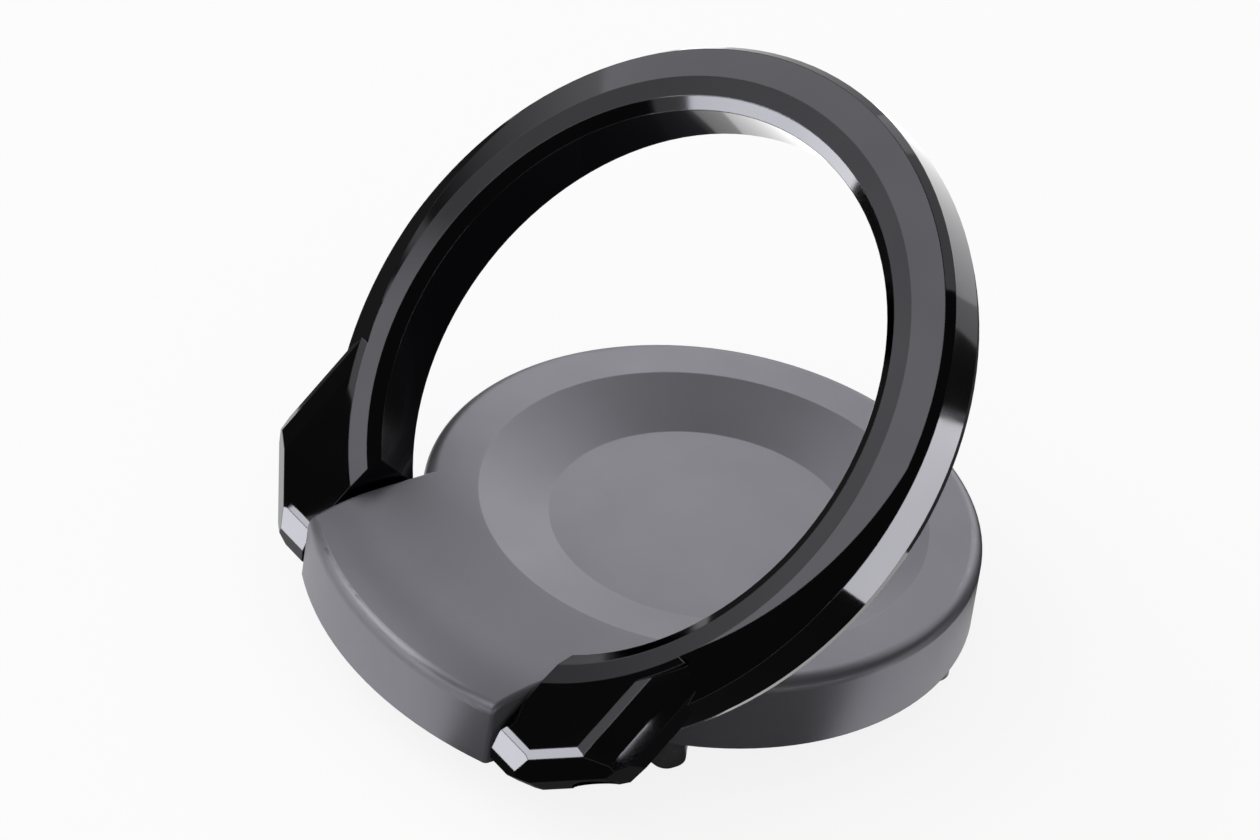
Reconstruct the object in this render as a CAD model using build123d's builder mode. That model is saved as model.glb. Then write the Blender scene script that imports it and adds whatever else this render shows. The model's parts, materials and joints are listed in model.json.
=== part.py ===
import os
from math import cos, radians, sin
from build123d import *

# Phone ring holder: a swivelling disc with a tongue, and a finger ring hinged to the tongue.
# Millimetres. X runs along the ring's hinge, Y from the tongue to the far rim, Z up from the phone.
# The origin is the middle of the adhesive face, on the swivel axis.

os.makedirs("parts", exist_ok=True)

# Adhesive foot and swivel plate
pad_clear = 1.05
pad_t = 1.0
plate_t = 1.1
plate_edge = 0.3
slip_inset = 1.5
slip_t = 0.5

# Swivel rivet and its spring stack
rivet_flange_r = 4.0
rivet_flange_t = 0.5
rivet_r = 2.0
rivet_tenon_r = 1.5
rivet_head_r = 2.3
rivet_head_t = 0.4
rivet_head_top_r = 1.6
run_gap = 0.04
spring_r = 4.2
spring_t = 0.25
spring_h = 0.4
keeper_r = 3.4
keeper_t = 0.4

# Disc with its dish
disc_r = 15.9
disc_h = 4.72
disc_edge = 0.75
dish_mouth_r = 12.8
dish_floor_r = 8.68
dish_depth = 1.18
dish_soft = 0.35
floor_t = 0.9

# Tongue in front of the disc
tongue_half = 9.45
tongue_r = 22.5
tongue_roll_r = 18.4
tongue_drop = 0.75
tongue_edge = 0.8
tongue_side_edge = 0.3

# Bottom cover and the hollow above it
cover_t = 0.5
cover_lip = 0.1
cover_inset = 0.4
cover_gap = 0.04
hub_r = 4.6
hub_t = 0.4
rim_wall = 3.9
steel_in_r = 5.4
steel_gap = 0.2
steel_t = 0.8

# Cover screws and glide feet
screw_r = 0.7
screw_head_r = 1.2
screw_head_t = 0.5
screw_len = 3.0
screw_slot_w = 0.25
screw_slot_t = 0.35
screw_inset = 2.2
screw_front_inset = 2.3
foot_r = 1.15
foot_inset = 1.7
foot_angle = 39.6
foot_air = 0.15
foot_soft = 0.4
spigot_r = 0.7

# Hinge
hinge_off = 1.45
hinge_up = 1.93
pin_r = 1.0
pin_gap = 0.03
pin_in = 4.6
pin_out = 12.6
pin_edge = 0.2
sleeve_wall = 0.2
sleeve_len = 5.0
sleeve_slit = 0.35
open_angle = 46.3

# Finger ring
ring_gap = 0.35
ring_w = 4.05
ring_under = 1.8
ring_face = 2.25
ring_crown = 0.1
face_fall = 0.45
inner_chamfer_w = 0.7
inner_chamfer_h = 0.44
inner_facet_w = 1.15
under_chamfer = 0.25
outer_bevel_w = 0.35
outer_bevel_h = 0.55
back_bevel_w = 0.3
back_bevel_h = 0.7
lean_bevel_in = 1.66
lean_slope = 1.8
lean_angle = 2.2
lean_over = 1.0
lean_depth = 2.2

# Ears of the ring: each profile runs from the face to the underside, as reach from the hinge line and level above it
slot_gap = 0.25
ear_end = 9.0
ear_root = 0.6
ear_collar_r = 18.6
ear_collar_from = 118.5
ear_top = ring_face + ring_crown
ear_side = [(14.6, ear_top), (15.2, 2.27), (16.7, 1.8), (17.35, 1.3), (17.2, -0.1), (15.6, -ring_under)]
ear_corner = [(8.58, ear_top), (9.14, 2.25), (10.1, 1.3), (10.05, 0), (9.0, -ring_under)]
ear_front = [(0.95, ear_top), (1.3, 2.3), (2.45, 1.8), (2.95, 1.3), (2.9, 0), (2.2, -ring_under)]
ear_corner_turn = 50
ear_shoulder = [(15.0, ear_top), (14.1, -ring_under)]
ear_shoulder_turn = 25
ear_cheek = [(6.75, ear_top), (6.4, -ring_under)]
ear_cheek_turn = 70

# How far a cut runs past the faces that it opens
overrun = 1.0

# Levels and radii that follow
hollow_r = disc_r - rim_wall
screw_rim = disc_r - screw_inset
screw_front = tongue_r - screw_front_inset
foot_rim = disc_r - foot_inset
pad_r = foot_rim - foot_r - pad_clear
slip_r = pad_r - slip_inset
tongue_root_r = (dish_mouth_r + disc_r) / 2
plate_z = pad_t
slip_z = plate_z + plate_t
cover_z = slip_z + slip_t
cover_top = cover_z + cover_t
body_z = cover_z + cover_lip
body_top = cover_z + disc_h
dish_z = body_top - dish_depth
ceiling_z = dish_z - floor_t
hub_z = cover_top + hub_t
spring_top = hub_z + spring_h
keeper_top = spring_top + keeper_t
hinge_y = -(disc_r + hinge_off)
hinge_z = cover_z + hinge_up
sleeve_r = pin_r + pin_gap + sleeve_wall
slot_half = tongue_half + slot_gap
ring_in = disc_r + ring_gap
ring_out = ring_in + ring_w
ring_z0 = hinge_z - ring_under
ring_z1 = hinge_z + ring_face
ring_top = ring_z1 + ring_crown
facet_in = ring_in + inner_chamfer_w
facet_out = facet_in + inner_facet_w
lean_r = ring_out - lean_bevel_in
core_r = ring_in - ring_w / 2
hinge_axis = Axis((0, hinge_y, hinge_z), (1, 0, 0))
screw_spots = [(screw_rim, 0), (0, screw_rim), (-screw_rim, 0), (0, -screw_front)]
foot_turns = [-foot_angle, foot_angle, 180 - foot_angle, 180 + foot_angle]


# Adhesive pad: the face that goes on the phone
with BuildPart() as pad:
    Cylinder(pad_r, pad_t, align=(Align.CENTER, Align.CENTER, Align.MIN))
pad.part.label = "adhesive_pad"
export_step(pad.part, "parts/adhesive_pad.step")

# Base plate: stays with the phone, recessed below for the rivet flange
with BuildPart() as plate:
    with Locations((0, 0, plate_z)):
        Cylinder(pad_r, plate_t, align=(Align.CENTER, Align.CENTER, Align.MIN))
        Cylinder(rivet_r, plate_t, align=(Align.CENTER, Align.CENTER, Align.MIN), mode=Mode.SUBTRACT)
        Cylinder(
            rivet_flange_r, rivet_flange_t,
            align=(Align.CENTER, Align.CENTER, Align.MIN), mode=Mode.SUBTRACT,
        )
    chamfer(plate.edges().group_by(Axis.Z)[-1].sort_by(SortBy.LENGTH)[-1], plate_edge)
plate.part.label = "base_plate"
export_step(plate.part, "parts/base_plate.step")

# Slip washer: what the disc turns on
with BuildPart() as slip:
    with Locations((0, 0, slip_z)):
        Cylinder(slip_r, slip_t, align=(Align.CENTER, Align.CENTER, Align.MIN))
        Cylinder(
            rivet_r + run_gap, slip_t,
            align=(Align.CENTER, Align.CENTER, Align.MIN), mode=Mode.SUBTRACT,
        )
slip.part.label = "slip_washer"
export_step(slip.part, "parts/slip_washer.step")

# Shoulder rivet: flange, running shoulder, tenon and upset head in one turned profile
with BuildPart() as rivet:
    with BuildSketch(Plane.XZ):
        with BuildLine():
            Polyline(
                (0, plate_z),
                (rivet_flange_r, plate_z),
                (rivet_flange_r, plate_z + rivet_flange_t),
                (rivet_r, plate_z + rivet_flange_t),
                (rivet_r, spring_top),
                (rivet_tenon_r, spring_top),
                (rivet_tenon_r, keeper_top),
                (rivet_head_r, keeper_top),
                (rivet_head_top_r, keeper_top + rivet_head_t),
                (0, keeper_top + rivet_head_t),
                close=True,
            )
        make_face()
    revolve(axis=Axis.Z)
rivet.part.label = "centre_rivet"
export_step(rivet.part, "parts/centre_rivet.step")

# Disc spring: a cone that presses the cover down on the slip washer
with BuildPart() as spring:
    with BuildSketch(Plane.XZ):
        with BuildLine():
            Polyline(
                (spring_r, hub_z),
                (spring_r, hub_z + spring_t),
                (rivet_r + run_gap, spring_top),
                (rivet_r + run_gap, spring_top - spring_t),
                close=True,
            )
        make_face()
    revolve(axis=Axis.Z)
spring.part.label = "disc_spring"
export_step(spring.part, "parts/disc_spring.step")

# Keeper washer under the upset rivet head
with BuildPart() as keeper:
    with Locations((0, 0, spring_top)):
        Cylinder(keeper_r, keeper_t, align=(Align.CENTER, Align.CENTER, Align.MIN))
        Cylinder(rivet_tenon_r, keeper_t, align=(Align.CENTER, Align.CENTER, Align.MIN), mode=Mode.SUBTRACT)
keeper.part.label = "keeper_washer"
export_step(keeper.part, "parts/keeper_washer.step")

# Swivel body: disc, dish and tongue in one moulding
with BuildPart() as body:
    with BuildSketch(Plane.XZ) as tongue_profile:
        with BuildLine():
            wall = Line((tongue_r, body_z), (tongue_r, body_top - tongue_drop))
            roll = TangentArc((tongue_roll_r, body_top), wall @ 1, tangent=(1, 0))
            Polyline(roll @ 0, (tongue_root_r, body_top), (tongue_root_r, body_z), wall @ 0)
        make_face()
        fillet(tongue_profile.vertices().sort_by_distance((tongue_r, body_top - tongue_drop))[0], tongue_edge)
    revolve(axis=Axis.Z)
    with BuildSketch(Plane.XY.offset(body_z)):
        with Locations((0, -tongue_r)):
            Rectangle(2 * tongue_half, 2 * tongue_r)
    extrude(amount=disc_h, mode=Mode.INTERSECT)
    fillet(body.edges().filter_by(Axis.Y).group_by(Axis.Z)[-1], tongue_side_edge)
    with BuildSketch(Plane.XZ) as disc_profile:
        with BuildLine():
            Polyline(
                (0, body_z),
                (disc_r, body_z),
                (disc_r, body_top),
                (dish_mouth_r, body_top),
                (dish_floor_r, dish_z),
                (0, dish_z),
                close=True,
            )
        make_face()
        fillet(disc_profile.vertices().sort_by_distance((disc_r, body_top))[0], disc_edge)
        fillet(disc_profile.vertices().sort_by_distance((dish_mouth_r, body_top))[0], dish_soft)
        fillet(disc_profile.vertices().sort_by_distance((dish_floor_r, dish_z))[0], dish_soft)
    revolve(axis=Axis.Z)
    # Rebate for the cover, following the outline of disc and tongue
    with BuildSketch(Plane.XY.offset(body_z)):
        Circle(tongue_r - cover_inset)
        with Locations((0, -tongue_r)):
            Rectangle(2 * (tongue_half - cover_inset), 2 * tongue_r, mode=Mode.INTERSECT)
        Circle(disc_r - cover_inset)
    extrude(amount=cover_top - body_z, mode=Mode.SUBTRACT)
    # Hollow for the swivel stack and the steel plate
    with Locations((0, 0, cover_top)):
        Cylinder(
            hollow_r, ceiling_z - cover_top,
            align=(Align.CENTER, Align.CENTER, Align.MIN), mode=Mode.SUBTRACT,
        )
    # Blind bores for the two friction sleeves
    for side in (1, -1):
        with BuildSketch(Plane.YZ.offset(side * (tongue_half + overrun))):
            with Locations((hinge_y, hinge_z)):
                Circle(sleeve_r)
        extrude(amount=-side * (sleeve_len + overrun), mode=Mode.SUBTRACT)
    # Pilot holes for the cover screws
    for spot in screw_spots:
        with Locations((spot[0], spot[1], cover_top)):
            Cylinder(
                screw_r, screw_len + cover_z - cover_top,
                align=(Align.CENTER, Align.CENTER, Align.MIN), mode=Mode.SUBTRACT,
            )
body.part.label = "swivel_body"
export_step(body.part, "parts/swivel_body.step")

# Bottom cover: closes the body, carries the running bore, the screws and the feet
with BuildPart() as cover:
    with BuildSketch(Plane.XY.offset(cover_z)):
        Circle(tongue_r - cover_inset - cover_gap)
        with Locations((0, -tongue_r)):
            Rectangle(2 * (tongue_half - cover_inset - cover_gap), 2 * tongue_r, mode=Mode.INTERSECT)
        Circle(disc_r - cover_inset - cover_gap)
    extrude(amount=cover_t)
    with Locations((0, 0, cover_top)):
        Cylinder(hub_r, hub_t, align=(Align.CENTER, Align.CENTER, Align.MIN))
    with Locations((0, 0, cover_z)):
        Cylinder(
            rivet_r + run_gap, cover_t + hub_t,
            align=(Align.CENTER, Align.CENTER, Align.MIN), mode=Mode.SUBTRACT,
        )
    for spot in screw_spots:
        with Locations((spot[0], spot[1], cover_z)):
            Cone(
                screw_head_r, screw_r, screw_head_t,
                align=(Align.CENTER, Align.CENTER, Align.MIN), mode=Mode.SUBTRACT,
            )
            Cylinder(
                screw_r, cover_t, align=(Align.CENTER, Align.CENTER, Align.MIN), mode=Mode.SUBTRACT
            )
    for turn in foot_turns:
        with Locations(Rotation(0, 0, turn) * Location((foot_rim, 0, cover_z))):
            Cylinder(
                spigot_r, cover_t, align=(Align.CENTER, Align.CENTER, Align.MIN), mode=Mode.SUBTRACT
            )
cover.part.label = "bottom_cover"
export_step(cover.part, "parts/bottom_cover.step")

# Steel plate under the dish floor
with BuildPart() as steel:
    with Locations((0, 0, ceiling_z - steel_t)):
        Cylinder(hollow_r - steel_gap, steel_t, align=(Align.CENTER, Align.CENTER, Align.MIN))
        Cylinder(steel_in_r, steel_t, align=(Align.CENTER, Align.CENTER, Align.MIN), mode=Mode.SUBTRACT)
steel.part.label = "steel_plate"
export_step(steel.part, "parts/steel_plate.step")

# Countersunk cover screws with a cross recess
for number, spot in enumerate(screw_spots, 1):
    with BuildPart() as screw:
        with Locations((spot[0], spot[1], cover_z)):
            Cone(screw_head_r, screw_r, screw_head_t, align=(Align.CENTER, Align.CENTER, Align.MIN))
            Cylinder(screw_r, screw_len, align=(Align.CENTER, Align.CENTER, Align.MIN))
            Box(
                screw_head_r, screw_slot_w, screw_slot_t,
                align=(Align.CENTER, Align.CENTER, Align.MIN), mode=Mode.SUBTRACT,
            )
            Box(
                screw_slot_w, screw_head_r, screw_slot_t,
                align=(Align.CENTER, Align.CENTER, Align.MIN), mode=Mode.SUBTRACT,
            )
    screw.part.label = f"cover_screw_{number}"
    export_step(screw.part, f"parts/cover_screw_{number}.step")

# Glide feet: round studs near the rim that stop the disc rocking
for number, turn in enumerate(foot_turns, 1):
    with BuildPart() as foot:
        with Locations(Rotation(0, 0, turn) * Location((foot_rim, 0, foot_air))):
            Cylinder(foot_r, cover_z - foot_air, align=(Align.CENTER, Align.CENTER, Align.MIN))
        chamfer(foot.edges().group_by(Axis.Z)[0], foot_soft)
        with Locations(Rotation(0, 0, turn) * Location((foot_rim, 0, cover_z))):
            Cylinder(spigot_r, cover_t, align=(Align.CENTER, Align.CENTER, Align.MIN))
    foot.part.label = f"glide_foot_{number}"
    export_step(foot.part, f"parts/glide_foot_{number}.step")

# Friction sleeves and hinge pins, one pair on each side of the tongue
for word, side in (("right", 1), ("left", -1)):
    with BuildPart() as sleeve:
        with BuildSketch(Plane.YZ.offset(side * tongue_half)):
            with Locations((hinge_y, hinge_z)):
                Circle(sleeve_r)
                Circle(pin_r + pin_gap, mode=Mode.SUBTRACT)
            with Locations((hinge_y, hinge_z + sleeve_r)):
                Rectangle(sleeve_slit, sleeve_r, mode=Mode.SUBTRACT)
        extrude(amount=-side * sleeve_len)
    sleeve.part.label = f"friction_sleeve_{word}"
    export_step(sleeve.part, f"parts/friction_sleeve_{word}.step")

    with BuildPart() as pin:
        with BuildSketch(Plane.YZ.offset(side * pin_in)):
            with Locations((hinge_y, hinge_z)):
                Circle(pin_r)
        extrude(amount=side * (pin_out - pin_in))
        chamfer(pin.edges().filter_by(GeomType.CIRCLE), pin_edge)
    pin.part.label = f"hinge_pin_{word}"
    export_step(pin.part, f"parts/hinge_pin_{word}.step")

# Finger ring, drawn folded round the disc
with BuildPart() as ring:
    with BuildSketch(Plane.XZ):
        with BuildLine():
            Polyline(
                (core_r, ring_z0),
                (ring_out - back_bevel_w, ring_z0),
                (ring_out, ring_z0 + back_bevel_h),
                (ring_out, ring_top - face_fall - outer_bevel_h),
                (ring_out - outer_bevel_w, ring_top - face_fall),
                (facet_out, ring_top),
                (core_r, ring_top),
                close=True,
            )
        make_face()
    revolve(axis=Axis.Z)
    # Leaning bevel: a cone tipped towards the hinge, so the bevel starts thin and widens to the ears
    with BuildPart(mode=Mode.PRIVATE) as cone:
        with BuildSketch(Plane.XZ):
            with BuildLine():
                Polyline(
                    (lean_r - lean_over * lean_slope, ring_top + lean_over),
                    (lean_r + lean_depth * lean_slope, ring_top - lean_depth),
                    (lean_r + ring_w, ring_top - lean_depth),
                    (lean_r + ring_w, ring_top + lean_over),
                    close=True,
                )
            make_face()
        revolve(axis=Axis.Z)
    add(cone.part.rotate(Axis((0, 0, ring_top), (1, 0, 0)), lean_angle), mode=Mode.SUBTRACT)
    # Collars: the ring's full face height carried on to the ears
    with BuildSketch(Plane.XY.offset(ring_z0)):
        Circle(ear_collar_r)
        with Locations((0, ear_collar_r * (1 - cos(radians(180 - ear_collar_from))))):
            Rectangle(2 * (ear_collar_r + overrun), 2 * ear_collar_r, mode=Mode.SUBTRACT)
    extrude(amount=ring_top - ring_z0)
    # Faceted ears: a block trimmed by flat cuts, and its mirror image
    with BuildPart(mode=Mode.PRIVATE) as ear:
        with Locations((slot_half - ear_root, hinge_y + ear_end, ring_z0)):
            Box(ring_out, ring_out, ring_top - ring_z0, align=(Align.MIN, Align.MAX, Align.MIN))
        for turn, profile in (
            (0, ear_side),
            (ear_shoulder_turn, ear_shoulder),
            (ear_corner_turn, ear_corner),
            (ear_cheek_turn, ear_cheek),
            (90, ear_front),
        ):
            outward = Vector(cos(radians(turn)), -sin(radians(turn)), 0)
            for (reach_1, level_1), (reach_2, level_2) in zip(profile[:-1], profile[1:]):
                edge = Vector(0, hinge_y, hinge_z + level_1) + outward * reach_1
                facing = outward * (level_1 - level_2) + Vector(0, 0, reach_2 - reach_1)
                split(bisect_by=Plane(origin=edge, z_dir=facing), keep=Keep.BOTTOM)
    add(ear.part)
    add(mirror(ear.part, about=Plane.YZ, mode=Mode.PRIVATE))
    # Inner wall, its chamfers and the shallow inner facet
    with BuildSketch(Plane.XZ):
        with BuildLine():
            Polyline(
                (0, ring_z0 - overrun),
                (ring_in + under_chamfer + overrun, ring_z0 - overrun),
                (ring_in, ring_z0 + under_chamfer),
                (ring_in, ring_z1 - inner_chamfer_h),
                (facet_in, ring_z1),
                (facet_out, ring_top),
                (facet_out, ring_top + overrun),
                (0, ring_top + overrun),
                close=True,
            )
        make_face()
    revolve(axis=Axis.Z, mode=Mode.SUBTRACT)
    # Slot for the tongue between the ears
    with BuildSketch(Plane.XY.offset(ring_z0 - overrun)):
        with Locations((0, -tongue_r)):
            Rectangle(2 * slot_half, 2 * tongue_r)
    extrude(amount=ring_top - ring_z0 + 2 * overrun, mode=Mode.SUBTRACT)
    # Bores that hold the hinge pins
    with BuildSketch(Plane.YZ.offset(-ring_out)):
        with Locations((hinge_y, hinge_z)):
            Circle(pin_r)
    extrude(amount=2 * ring_out, mode=Mode.SUBTRACT)
finger_ring = ring.part.rotate(hinge_axis, open_angle)
finger_ring.label = "finger_ring"
export_step(finger_ring, "parts/finger_ring.step")
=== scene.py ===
# %% [markdown]
# # A phone ring holder
#
# The holder is a grey disc with a shallow dish and a tongue, stuck to the back of a phone by a round foot.
# A glossy black ring hinges on the tongue and takes a finger.
#
# The solids already have their true sizes and places, so this lesson never moves or resizes one. It gives
# each piece the finish of the real material and sets up the picture.

# %% Load the frame
import json
from math import cos, pi, radians, sin

import bmesh
import bpy
from mathutils import Matrix, Vector

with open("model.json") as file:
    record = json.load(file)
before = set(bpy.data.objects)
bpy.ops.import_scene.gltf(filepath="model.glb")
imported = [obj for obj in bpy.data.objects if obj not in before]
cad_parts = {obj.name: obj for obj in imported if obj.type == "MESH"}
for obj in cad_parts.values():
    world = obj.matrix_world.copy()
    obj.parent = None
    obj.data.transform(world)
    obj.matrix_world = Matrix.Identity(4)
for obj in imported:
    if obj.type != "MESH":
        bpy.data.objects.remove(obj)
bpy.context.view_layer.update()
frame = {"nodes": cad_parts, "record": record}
nodes = frame["nodes"]

# %% [markdown]
# ## The camera
#
# The holder was pictured with a long lens, from the right of the tongue and well above it. A long lens
# keeps the far side of the ring nearly as large as the near side. A place, a viewing way and an up way fix
# a camera completely. Three columns of a matrix hold them: right, up and backwards.

# %% Camera
camera_place = Vector((0.3480, -0.2893, 0.3416))
camera_way = Vector((-0.6275, 0.5103, -0.5881)).normalized()
camera_up = Vector((-0.5468, 0.2489, 0.7995))
camera_lens = 285.7
camera_sensor = 36.0


def matrix_looking(place, way, up):
    right = way.cross(up).normalized()
    true_up = right.cross(way)
    turn = Matrix((right, true_up, -way)).transposed()
    return Matrix.Translation(place) @ turn.to_4x4()


camera = bpy.data.objects.new("camera", bpy.data.cameras.new("camera"))
camera.data.lens = camera_lens
camera.data.sensor_fit = "HORIZONTAL"
camera.data.sensor_width = camera_sensor
camera.data.clip_start = 0.01
camera.matrix_world = matrix_looking(camera_place, camera_way, camera_up)
bpy.context.scene.collection.objects.link(camera)
bpy.context.scene.camera = camera
bpy.context.scene.view_settings.view_transform = "Standard"
print("camera stands", round(camera_place.length, 3), "m from the foot")

# %% [markdown]
# ## Floor and surroundings
#
# The picture is plain white all round. A world that is white for the camera and for mirror rays gives that
# without pouring more light on the object. The floor is a pale matt sheet. Most of what the camera sees of
# it is its own white, so that the shadow stays soft and faint.

# %% World and floor
world_light = 0.55
floor_reach = 3.0
floor_colour = (0.9, 0.9, 0.9, 1.0)
floor_white_share = 0.86


def seen_ray(tree):
    """Gives 1 for camera, mirror and glass rays, and 0 for the rays that carry soft light."""
    path = tree.nodes.new("ShaderNodeLightPath")
    total = path.outputs["Is Camera Ray"]
    for kind in ("Is Glossy Ray", "Is Transmission Ray"):
        either = tree.nodes.new("ShaderNodeMath")
        either.operation = "MAXIMUM"
        tree.links.new(total, either.inputs[0])
        tree.links.new(path.outputs[kind], either.inputs[1])
        total = either.outputs[0]
    return total


world = bpy.data.worlds.new("white_room")
bpy.context.scene.world = world
world.use_nodes = True
room = world.node_tree
room.nodes["Background"].inputs["Color"].default_value = (1, 1, 1, 1)
strength = room.nodes.new("ShaderNodeMapRange")
strength.inputs["To Min"].default_value = world_light
strength.inputs["To Max"].default_value = 1.0
room.links.new(seen_ray(room), strength.inputs["Value"])
room.links.new(strength.outputs[0], room.nodes["Background"].inputs["Strength"])

floor_mesh = bpy.data.meshes.new("floor")
sheet = bmesh.new()
bmesh.ops.create_grid(sheet, x_segments=1, y_segments=1, size=floor_reach)
sheet.to_mesh(floor_mesh)
sheet.free()
floor = bpy.data.objects.new("floor", floor_mesh)
bpy.context.scene.collection.objects.link(floor)

floor_paper = bpy.data.materials.new("floor_paper")
floor_paper.use_nodes = True
paper = floor_paper.node_tree
paper.nodes.remove(paper.nodes["Principled BSDF"])
matt = paper.nodes.new("ShaderNodeBsdfDiffuse")
matt.inputs["Color"].default_value = floor_colour
white = paper.nodes.new("ShaderNodeEmission")
share = paper.nodes.new("ShaderNodeMath")
share.operation = "MULTIPLY"
share.inputs[1].default_value = floor_white_share
both = paper.nodes.new("ShaderNodeMixShader")
paper.links.new(seen_ray(paper), share.inputs[0])
paper.links.new(share.outputs[0], both.inputs["Fac"])
paper.links.new(matt.outputs[0], both.inputs[1])
paper.links.new(white.outputs[0], both.inputs[2])
paper.links.new(both.outputs[0], paper.nodes["Material Output"].inputs["Surface"])
floor_mesh.materials.append(floor_paper)
print("floor", 2 * floor_reach, "m across")

# %% [markdown]
# ## Studio light
#
# Soft boxes and the pale room light the matt pieces. Each box is placed by the direction in which the
# holder sees it: a turn round the swivel axis and a rise above the floor. A small box close behind the disc
# makes its far side lighter than the tongue. It is linked to the matt pieces, so the ring does not mirror
# it.

# %% Soft boxes
aim = Vector((0, 0, 0.012))


def way_to(turn, rise):
    flat = cos(radians(rise))
    return Vector((cos(radians(turn)) * flat, sin(radians(turn)) * flat, sin(radians(rise))))


def soft_box(name, turn, rise, distance, width, height, glow):
    """An area lamp of an even glow that faces the holder; a glow of 1 mirrors as white."""
    lamp = bpy.data.lights.new(name, "AREA")
    lamp.shape = "RECTANGLE"
    lamp.size = width
    lamp.size_y = height
    lamp.energy = glow * pi * width * height
    box = bpy.data.objects.new(name, lamp)
    away = way_to(turn, rise)
    box.matrix_world = matrix_looking(aim + distance * away, -away, Vector((0, 0, 1)))
    bpy.context.scene.collection.objects.link(box)
    return box


left_glow = 1.75
soft_box("left_box", -133, 37, 0.6, 0.74, 0.5, left_glow)
soft_box("back_box", 119, 21, 0.6, 0.2, 0.24, 0.9)
front_fill = soft_box("front_fill", -45, 40, 0.8, 0.6, 0.6, 0.5)
front_fill.visible_glossy = False

matt_pieces = bpy.data.collections.new("matt_pieces")
for name, piece in nodes.items():
    if name != "finger_ring":
        matt_pieces.objects.link(piece)
dish_light = soft_box("dish_light", 150, 27, 0.068, 0.03, 0.03, 0.7)
dish_light.visible_camera = False
dish_light.light_linking.receiver_collection = matt_pieces

# %% [markdown]
# ## Cards for the mirror
#
# A polished black ring shows its surroundings more than itself. Photographers therefore set black and
# bright cards round such a piece. These cards are met by mirror rays alone, and their glow is linked to the
# ring, so they draw its bright flashes and deep blacks, cast no shadow and add no light to the matt pieces.
# It is kept on a card's corners and read by one shared material, so a card can also fade from one side to
# the other.

# %% Card maker
card_paint = bpy.data.materials.new("card_glow")
card_paint.use_nodes = True
glow_tree = card_paint.node_tree
kept_glow = glow_tree.nodes.new("ShaderNodeAttribute")
kept_glow.attribute_name = "glow"
shine = glow_tree.nodes.new("ShaderNodeEmission")
glow_tree.links.new(kept_glow.outputs["Fac"], shine.inputs["Strength"])
glow_tree.links.new(shine.outputs[0], glow_tree.nodes["Material Output"].inputs["Surface"])

black_glow = 0.06
black = (black_glow, black_glow)
cards = []
mirror_piece = bpy.data.collections.new("mirror_piece")
mirror_piece.objects.link(nodes["finger_ring"])


def card(name, rows, low=black, high=None):
    """A grid of points made into a card, with the glow at both ends of its first and of its last row."""
    high = high or low
    grid = bmesh.new()
    glow = grid.verts.layers.float.new("glow")
    points = [[grid.verts.new(spot) for spot in row] for row in rows]
    for j, line in enumerate(points):
        up = j / (len(points) - 1)
        ends = [a + (b - a) * up for a, b in zip(low, high)]
        for i, point in enumerate(line):
            point[glow] = ends[0] + (ends[1] - ends[0]) * i / (len(line) - 1)
    for under, over in zip(points[:-1], points[1:]):
        for a, b, c, d in zip(under[:-1], under[1:], over[1:], over[:-1]):
            grid.faces.new((a, b, c, d))
    mesh = bpy.data.meshes.new(name)
    grid.to_mesh(mesh)
    grid.free()
    mesh.materials.append(card_paint)
    sheet = bpy.data.objects.new(name, mesh)
    sheet.visible_camera = False
    sheet.visible_diffuse = False
    sheet.visible_shadow = False
    sheet.light_linking.receiver_collection = mirror_piece
    bpy.context.scene.collection.objects.link(sheet)
    cards.append(name)


print("card material:", card_paint.name)

# %% [markdown]
# ## Screens in the sky
#
# Sky cards are patches of a sphere round the holder, named by the turns and rises that they span. Black
# screens stand towards the camera, overhead and at both sides. A dim card in front of the left box gives
# the ring's inner facet its softer grey, another one fades the box out at its lower left, and a third dims
# it for the near ear. Two small bright cards draw the white corners of the ears and the light line beside
# the near one.

# %% Sky cards
sky_steps = 20


def sky_card(name, turns, rises, distance, low=black, high=None):
    """A patch of a sphere round the holder; low and high give its glow as in a card."""
    span = [i / sky_steps for i in range(sky_steps + 1)]
    turn_row = [turns[0] + (turns[1] - turns[0]) * i for i in span]
    rise_row = [rises[0] + (rises[1] - rises[0]) * j for j in span]
    card(name, [[aim + distance * way_to(turn, rise) for turn in turn_row] for rise in rise_row], low, high)


sky_card("front_screen", (-99, 72), (-1, 58), 1.1)
sky_card("right_screen", (70, 98), (-1, 32), 1.08)
sky_card("top_screen", (-180, 180), (57, 90), 1.12)
sky_card("side_screen", (154, 193), (-1, 46), 1.1)
sky_card("low_side_screen", (190, 203), (-1, 9.5), 1.08)
sky_card("facet_card", (-147, -124), (21, 33.2), 0.59, (2.0, 1.9), (0.0, 1.0))
sky_card("fade_card", (-174, -150), (11, 24), 0.58, (0, 0), (left_glow, left_glow))
sky_card("ear_line", (164, 176), (8, 18), 1.06, (0.9, 0.9))
sky_card("strip_card", (-124, -112), (21.5, 40), 0.59, (1.45, 1.45))
sky_card("ear_glint", (-133, -113), (13, 21.5), 0.57, (12, 12))
print("cards in the sky:", len(cards))

# %% [markdown]
# ## Sheets on the floor
#
# The ring's walls and chamfers look down, so their flashes and their blacks come from bright sheets and
# black cloths that lie on the floor.

# %% Floor cards
cloth_rise = 0.0002
sheet_rise = 0.0003


def floor_card(name, start, stop, width, glow=black_glow):
    """A strip on the floor between two points; the bright sheets lie on the cloths."""
    rise = cloth_rise if glow == black_glow else sheet_rise
    ends = Vector((*start, rise)), Vector((*stop, rise))
    side = (ends[1] - ends[0]).cross(Vector((0, 0, 1))).normalized() * width / 2
    card(name, [[end - side, end + side] for end in ends], (glow, glow))


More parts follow.
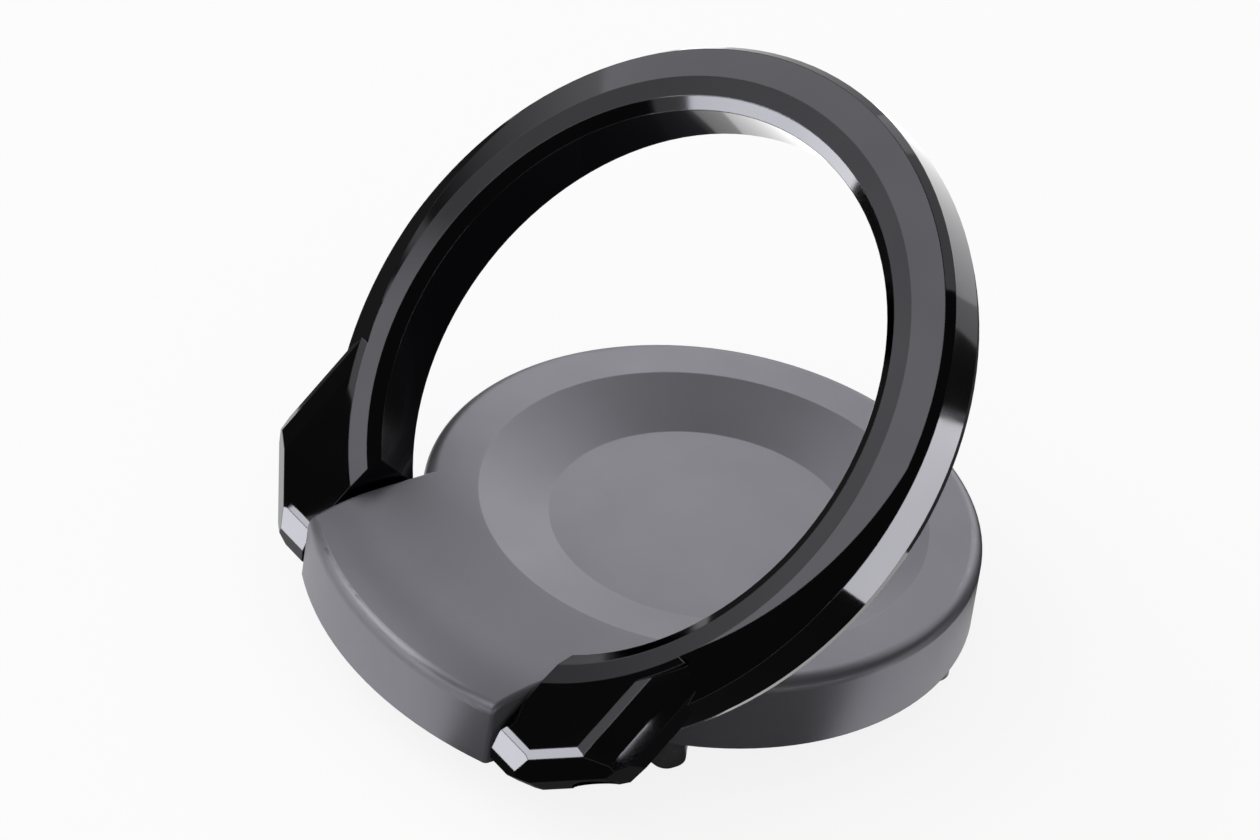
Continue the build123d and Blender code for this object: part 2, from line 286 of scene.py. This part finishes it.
floor_card("right_sheet", (0.043, 0.008), (0.07, 0.13), 0.022, 9.0)
floor_card("left_sheet", (-0.068, -0.05), (-0.04, -0.26), 0.03, 13.0)
floor_card("tongue_sheet", (-0.036, -0.043), (0.002, -0.043), 0.012, 14.0)
floor_card("back_sheet", (-0.062, 0.04), (-0.04, 0.3), 0.06, 1.8)
floor_card("rim_sheet", (-0.023, 0.008), (-0.034, 0.03), 0.014, 1.9)
floor_card("back_cloth", (0.003, 0.018), (0.003, 0.15), 0.054)
floor_card("far_cloth", (0.055, 0.148), (0.05, 0.3), 0.05)
floor_card("left_cloth", (-0.036, -0.018), (-0.42, 0.01), 0.07)
floor_card("front_cloth", (0.016, -0.052), (0.016, -0.024), 0.02)
floor_card("near_cloth", (0.013, -0.03), (0.05, 0.008), 0.034)
print("cards with those on the floor:", len(cards))

# %% [markdown]
# ## Flags at the ears
#
# The flat faces of the ears are quite black, though they lie nearly in the plane of the grey facets. Small
# flags close to the ears take the left box away from those faces alone. One thin light strip does the
# opposite for the edge of the near ear.

# %% Ear flags
flag_gap = 0.012


def ear_flag(name, face, turn, rise, sides, ups):
    """A black flag in front of an ear's face, square to the way in which that face mirrors."""
    way = way_to(turn, rise)
    side = Vector((0, 0, 1)).cross(way).normalized()
    up = way.cross(side)
    place = Vector(face) + way * flag_gap
    card(name, [[place + side * i + up * j for i in sides] for j in ups])


left_face = (-0.0123, -0.0177, 0.0076)
right_face = (0.0118, -0.018, 0.0074)
ear_flag("left_ear_flag", left_face, -136, 27, (-0.0126, 0.0026), (-0.0066, 0.0027))
ear_flag("right_ear_flag", right_face, -134, 28, (-0.0022, 0.0026), (-0.0032, 0.008))
ear_flag("right_side_flag", right_face, -134, 28, (0.0087, 0.0132), (0.0046, 0.0128))

strip_place = Vector((0.0317, -0.0322, 0.0202))
strip_long = Vector((0, 0.0009, 0.00094))
strip_across = Vector((0.00009, 0.00005, -0.00005))
strip = [[strip_place + i * strip_long + j * strip_across for i in (-1, 1)] for j in (-1, 1)]
card("ear_strip", strip, (14, 14))
print("cards in all:", len(cards))

# %% [markdown]
# ## Finishes and their patterns
#
# A finish is a Principled shader whose colour, roughness and surface height vary a little over the piece,
# as moulded, ground or rolled surfaces do. The patterns below work in the object's own space, in metres, so
# a grain of a tenth of a millimetre has a scale of about ten thousand.

# %% Finish maker and patterns
finishes = {}


def finish(name, **even):
    """A new Principled material; the even values go straight on the shader's sockets."""
    made = bpy.data.materials.new(name)
    made.use_nodes = True
    shader = made.node_tree.nodes["Principled BSDF"]
    for socket, value in even.items():
        shader.inputs[socket.replace("_", " ")].default_value = value
    finishes[name] = made
    return made.node_tree, shader


def grain(tree, size, detail=2.0, stretch=(1, 1, 1)):
    """A noise whose lumps are about size metres across, drawn out where stretch is small."""
    place = tree.nodes.new("ShaderNodeTexCoord")
    room = tree.nodes.new("ShaderNodeMapping")
    room.inputs["Scale"].default_value = stretch
    noise = tree.nodes.new("ShaderNodeTexNoise")
    noise.inputs["Scale"].default_value = 1 / size
    noise.inputs["Detail"].default_value = detail
    tree.links.new(place.outputs["Object"], room.inputs["Vector"])
    tree.links.new(room.outputs["Vector"], noise.inputs["Vector"])
    return noise.outputs["Fac"]


# A wave texture of scale 1 repeats after this length
wave_period = 0.314


def turning_marks(tree, pitch):
    """Fine rings round the swivel axis, as a lathe tool leaves them."""
    place = tree.nodes.new("ShaderNodeTexCoord")
    wave = tree.nodes.new("ShaderNodeTexWave")
    wave.wave_type = "RINGS"
    wave.rings_direction = "Z"
    wave.inputs["Scale"].default_value = wave_period / pitch
    wave.inputs["Distortion"].default_value = 1.5
    wave.inputs["Detail"].default_value = 2.0
    tree.links.new(place.outputs["Object"], wave.inputs["Vector"])
    return wave.outputs["Fac"]


print("patterns ready")

# %% [markdown]
# ## From a pattern to a finish
#
# A pattern runs from 0 to 1. It drives a shader by being stretched between two numbers, blended between two
# colours or read as a height. Only the ring's shading is rounded at its edges: its polished corners would
# otherwise be sharper than a casting's.

# %% Pattern feeds
def spread(tree, value, low, high, socket, start=0.3, stop=0.7):
    """Stretches a pattern between two numbers and feeds a shader socket."""
    spans = tree.nodes.new("ShaderNodeMapRange")
    spans.inputs["From Min"].default_value = start
    spans.inputs["From Max"].default_value = stop
    spans.inputs["To Min"].default_value = low
    spans.inputs["To Max"].default_value = high
    tree.links.new(value, spans.inputs["Value"])
    tree.links.new(spans.outputs[0], socket)


def tint(tree, value, dark, light, socket, start=0.3, stop=0.7):
    """Blends two colours by a pattern and feeds a shader socket."""
    ramp = tree.nodes.new("ShaderNodeValToRGB")
    ramp.color_ramp.elements[0].position = start
    ramp.color_ramp.elements[1].position = stop
    ramp.color_ramp.elements[0].color = (*dark, 1)
    ramp.color_ramp.elements[1].color = (*light, 1)
    tree.links.new(value, ramp.inputs["Fac"])
    tree.links.new(ramp.outputs["Color"], socket)


def relief(tree, value, depth, shader):
    """Raises the surface by depth metres where the pattern is 1."""
    bump = tree.nodes.new("ShaderNodeBump")
    bump.inputs["Strength"].default_value = 1.0
    bump.inputs["Distance"].default_value = depth
    tree.links.new(value, bump.inputs["Height"])
    tree.links.new(bump.outputs["Normal"], shader.inputs["Normal"])


def soft_edge(tree, shader, radius):
    """Rounds the edges in the shading, by about radius metres."""
    edge = tree.nodes.new("ShaderNodeBevel")
    edge.samples = 6
    edge.inputs["Radius"].default_value = radius
    tree.links.new(edge.outputs["Normal"], shader.inputs["Normal"])


print("feeds ready")

# %% [markdown]
# ## Soft-touch grey
#
# The disc is moulded and has a soft, metallic grey coat: matt, a little blue, with a grain that is too fine
# to see but spreads the highlights. A broad second noise gives the slight cloudiness that handling leaves.

# %% Grey finishes
tree, shader = finish("soft_grey", Metallic=0.75, IOR=1.5)
tint(tree, grain(tree, 0.006, 3), (0.228, 0.224, 0.251), (0.242, 0.238, 0.266), shader.inputs["Base Color"])
spread(tree, grain(tree, 0.0025, 4), 0.405, 0.43, shader.inputs["Roughness"])
relief(tree, grain(tree, 0.00012, 2), 0.000003, shader)

tree, shader = finish("foot_grey", IOR=1.5)
tint(tree, grain(tree, 0.0015, 3), (0.04, 0.04, 0.043), (0.06, 0.06, 0.064), shader.inputs["Base Color"])
spread(tree, grain(tree, 0.0008, 3), 0.26, 0.4, shader.inputs["Roughness"])
relief(tree, grain(tree, 0.00015, 2), 0.000003, shader)

tree, shader = finish("cover_plastic", IOR=1.5)
tint(tree, grain(tree, 0.004, 3), (0.014, 0.014, 0.015), (0.022, 0.022, 0.024), shader.inputs["Base Color"])
spread(tree, grain(tree, 0.0006, 3), 0.42, 0.6, shader.inputs["Roughness"])
relief(tree, grain(tree, 0.0002, 3), 0.000008, shader)
print("grey finishes:", sorted(finishes))

# %% [markdown]
# ## Polished black
#
# The ring is a casting, polished and plated black. It is almost a mirror, so very little may disturb it: a
# faint change of tone and gloss, as fingers leave it. Its edges are rounded in the shading alone, because
# polishing never leaves one quite sharp.

# %% Black finish of the ring
tree, shader = finish("black_chrome", Metallic=1.0)
tint(tree, grain(tree, 0.01, 2), (0.036, 0.036, 0.04), (0.042, 0.042, 0.046), shader.inputs["Base Color"])
spread(tree, grain(tree, 0.0035, 4), 0.045, 0.075, shader.inputs["Roughness"])
soft_edge(tree, shader, 0.00008)
print("ring finish:", finishes["black_chrome"].name)

# %% [markdown]
# ## Sheet steel and turned steel
#
# The base plate and the plate under the dish are rolled sheet, and the rivet and the keeper washer are
# turned. Rolled sheet has a streaked grain, so its noise is drawn out along one axis. A wave texture gives
# the turned pieces their rings round the axis.

# %% Steel finishes
tree, shader = finish("plate_steel", Metallic=1.0)
streaks = grain(tree, 0.0004, 3, (0.04, 1, 1))
tint(tree, streaks, (0.42, 0.43, 0.45), (0.5, 0.51, 0.53), shader.inputs["Base Color"])
spread(tree, streaks, 0.24, 0.38, shader.inputs["Roughness"])
relief(tree, streaks, 0.000003, shader)

tree, shader = finish("bright_steel", Metallic=1.0)
rings = turning_marks(tree, 0.00012)
tint(tree, grain(tree, 0.002, 3), (0.58, 0.59, 0.61), (0.66, 0.67, 0.69), shader.inputs["Base Color"])
spread(tree, rings, 0.16, 0.3, shader.inputs["Roughness"])
relief(tree, rings, 0.000004, shader)

print("with the steels:", len(finishes))

# %% [markdown]
# ## Spring, pins, sleeves and screws
#
# These small pieces are hardened, ground, bronze or blackened metal. Most of them sit under the disc or
# deep in the ears, so a noise in colour and gloss is enough, drawn out along the pins as grinding leaves
# it.

# %% Small metal finishes
tree, shader = finish("spring_steel", Metallic=1.0)
tint(tree, grain(tree, 0.0015, 4), (0.3, 0.3, 0.32), (0.42, 0.41, 0.42), shader.inputs["Base Color"])
spread(tree, grain(tree, 0.0005, 3), 0.25, 0.42, shader.inputs["Roughness"])

tree, shader = finish("pin_steel", Metallic=1.0)
streaks = grain(tree, 0.0002, 2, (1, 0.1, 0.1))
tint(tree, streaks, (0.2, 0.2, 0.22), (0.29, 0.29, 0.31), shader.inputs["Base Color"])
spread(tree, streaks, 0.18, 0.32, shader.inputs["Roughness"])

tree, shader = finish("sleeve_metal", Metallic=1.0)
tint(tree, grain(tree, 0.0008, 4), (0.5, 0.38, 0.2), (0.66, 0.53, 0.32), shader.inputs["Base Color"])
spread(tree, grain(tree, 0.0004, 3), 0.25, 0.45, shader.inputs["Roughness"])

tree, shader = finish("dark_screw", Metallic=1.0)
tint(tree, grain(tree, 0.0004, 4), (0.05, 0.05, 0.055), (0.1, 0.1, 0.105), shader.inputs["Base Color"])
spread(tree, grain(tree, 0.0002, 3), 0.28, 0.5, shader.inputs["Roughness"])

print("with the small metals:", len(finishes))

# %% [markdown]
# ## Slip washer and adhesive pad
#
# The slip washer is white acetal with the rings of its turning, and the pad is black foam. Foam has open
# cells, so one noise darkens, roughens and lowers its surface at once.

# %% Acetal and foam
tree, shader = finish("slip_plastic", IOR=1.48)
tint(tree, grain(tree, 0.003, 3), (0.8, 0.8, 0.77), (0.87, 0.87, 0.85), shader.inputs["Base Color"])
spread(tree, turning_marks(tree, 0.0002), 0.3, 0.45, shader.inputs["Roughness"])

tree, shader = finish("foam_tape", IOR=1.4)
cells = grain(tree, 0.0003, 4)
tint(tree, cells, (0.012, 0.012, 0.013), (0.045, 0.045, 0.048), shader.inputs["Base Color"])
spread(tree, cells, 0.75, 0.95, shader.inputs["Roughness"])
relief(tree, cells, 0.00006, shader)
print("finishes:", len(finishes))

# %% [markdown]
# ## Dressing the pieces
#
# The solids come as fine triangles with the true normals of their curved faces, so they stay as they are,
# and each only takes the finish that its record names.

# %% Finishes on the pieces
slot_of = {row["node"]: row["material_slot"] for row in frame["record"]["subparts"]}

for name, piece in nodes.items():
    piece.data.materials.clear()
    piece.data.materials.append(finishes[slot_of[name]])
    print(name, "->", slot_of[name])

# %% [markdown]
# ## Closing
#
# The dressed model has to keep the size of the solids. The view layer is brought up to date.

# %% Update
bpy.context.view_layer.update()
